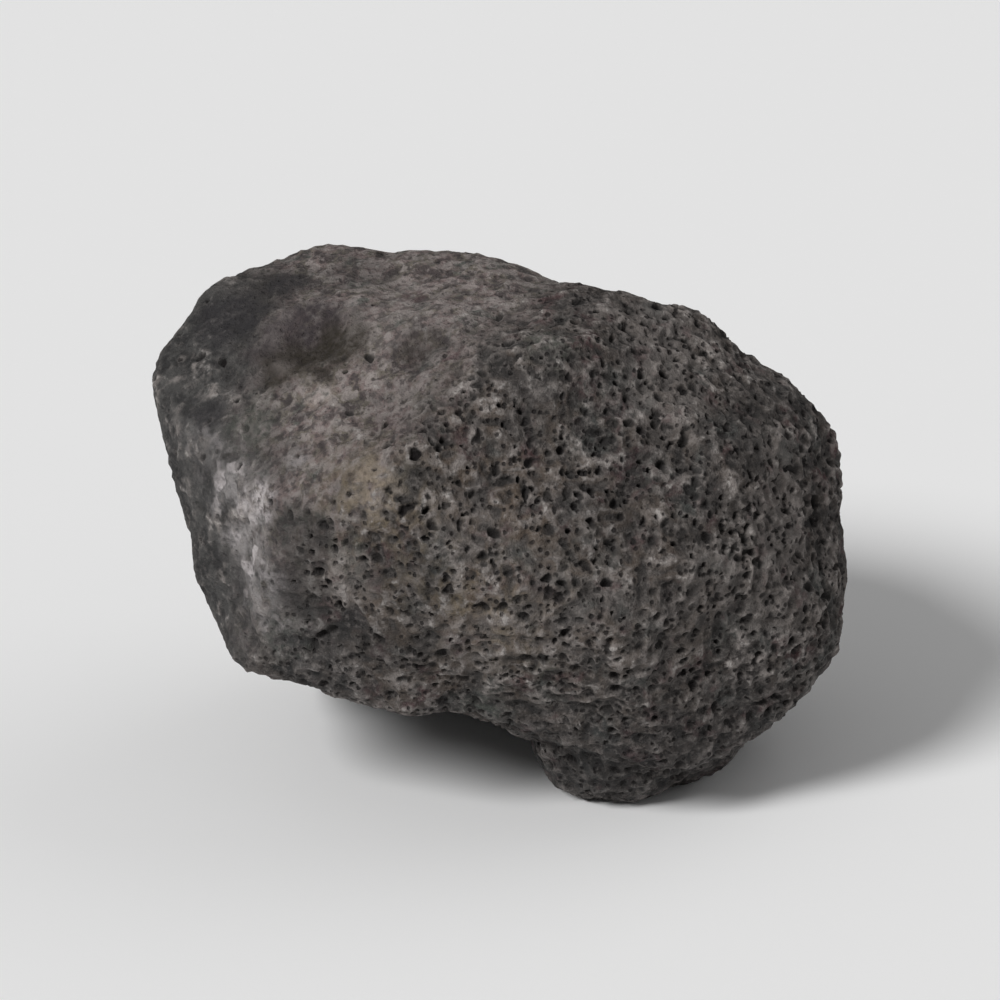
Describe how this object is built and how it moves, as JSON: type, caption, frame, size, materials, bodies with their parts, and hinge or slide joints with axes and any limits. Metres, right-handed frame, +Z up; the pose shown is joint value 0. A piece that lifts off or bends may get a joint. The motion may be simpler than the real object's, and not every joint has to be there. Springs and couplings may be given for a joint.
{
  "type": "lava rock",
  "caption": "Fist-sized lump of dark vesicular lava rock with a smooth pale skin on one side, open gas pits elsewhere and a flat underside to stand on.",
  "frame": {"origin": "middle of the rock's footprint box, at the level of the flat underside that it rests on", "axes": "+X along the rock's greatest length, with the smooth pale skin at -X and the foot at +X; -Y is the shown front; +Z up"},
  "size_m": [0.0984, 0.09, 0.0742],
  "materials": {
    "scoria": "dry, dull, dark grey-brown vesicular scoria, with a paler, smoother weathered skin on the upper left"
  },
  "bodies": {
    "root": {"lava_rock": "scoria"}
  },
  "joints": []
}
